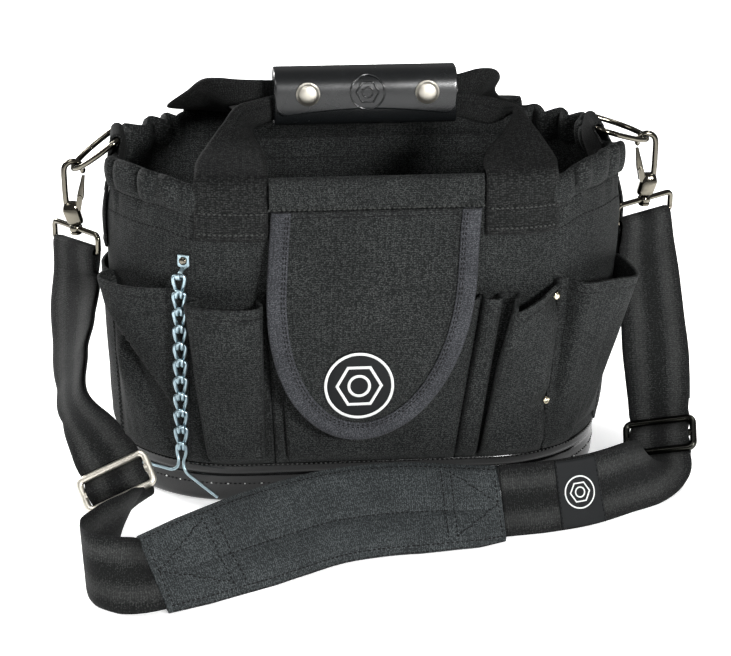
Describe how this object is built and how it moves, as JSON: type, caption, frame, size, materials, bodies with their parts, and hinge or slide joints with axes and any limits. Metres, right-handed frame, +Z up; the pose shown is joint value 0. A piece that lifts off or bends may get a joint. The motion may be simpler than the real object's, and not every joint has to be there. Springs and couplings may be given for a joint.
{
  "type": "tool bag",
  "caption": "Open-top fabric tool bag with outside pockets, a front flap, twin webbing handles in a leather wrap, a padded clip-on shoulder strap and a hanging tape chain.",
  "frame": {"origin": "on the ground under the middle of the base pan", "axes": "+X to the right along the bag seen from the front, -Y out of the front, +Z up"},
  "size_m": [0.4568, 0.362, 0.2866],
  "materials": {
    "fabric": "dull coarse woven synthetic, dark charcoal with a fine light fleck",
    "vinyl": "glossy moulded black vinyl",
    "webbing": "dull tight woven webbing, brown-black",
    "binding": "dull ribbed binding tape, dark grey",
    "leather": "smooth finished leather, black, soft sheen",
    "nickel": "polished nickel plate",
    "zinc": "bright bluish zinc plate",
    "brass": "polished brass",
    "pad_cloth": "dull woven cloth over foam, blue-charcoal",
    "patch": "smooth printed cloth, black"
  },
  "bodies": {
    "bag": {"back_handle": "webbing", "back_hem": "fabric", "base_pan": "vinyl", "body_wall": "fabric", "chain_hook": "zinc", "chain_link_01": "zinc", "chain_link_02": "zinc", "chain_link_03": "zinc", "chain_link_04": "zinc", "chain_link_05": "zinc", "chain_link_06": "zinc", "chain_link_07": "zinc", "chain_link_08": "zinc", "chain_link_09": "zinc", "chain_link_10": "zinc", "chain_plate": "zinc", "d_ring_left": "nickel", "d_ring_right": "nickel", "flap": "fabric", "flap_binding": "binding", "flap_patch": "patch", "front_handle": "webbing", "front_hem": "fabric", "handle_wrap": "leather", "pocket_back_center": "fabric", "pocket_back_left": "fabric", "pocket_back_right": "fabric", "pocket_corner_left": "fabric", "pocket_corner_right": "fabric", "pocket_end_left": "fabric", "pocket_end_right": "fabric", "pocket_front_center": "fabric", "pocket_front_left": "fabric", "pocket_front_right": "fabric", "ring_tab_left": "webbing", "ring_tab_right": "webbing", "rivet_chain": "brass", "rivet_front_low": "brass", "rivet_front_top": "brass", "shoulder_pad": "pad_cloth", "slide_left": "nickel", "slide_right": "nickel", "snap_body_left": "nickel", "snap_body_right": "nickel", "snap_eye_left": "nickel", "snap_eye_right": "nickel", "strap_label": "patch", "strap_left": "webbing", "strap_right": "webbing", "wrap_snap_left": "nickel", "wrap_snap_right": "nickel"},
    "left_gate": {"snap_gate_left": "nickel"},
    "right_gate": {"snap_gate_right": "nickel"}
  },
  "joints": [
    {"name": "left_gate_hinge", "type": "hinge", "parent": "bag", "child": "left_gate", "pos_m": [-0.1989, 0, 0.197], "axis": [0, -1, 0], "range_deg": [0, 24], "stiffness_Nm_per_rad": 0.02, "springref_deg": -17.19},
    {"name": "right_gate_hinge", "type": "hinge", "parent": "bag", "child": "right_gate", "pos_m": [0.19558, -0.006, 0.20935], "axis": [0, 1, 0], "range_deg": [0, 24], "stiffness_Nm_per_rad": 0.02, "springref_deg": -17.19}
  ]
}
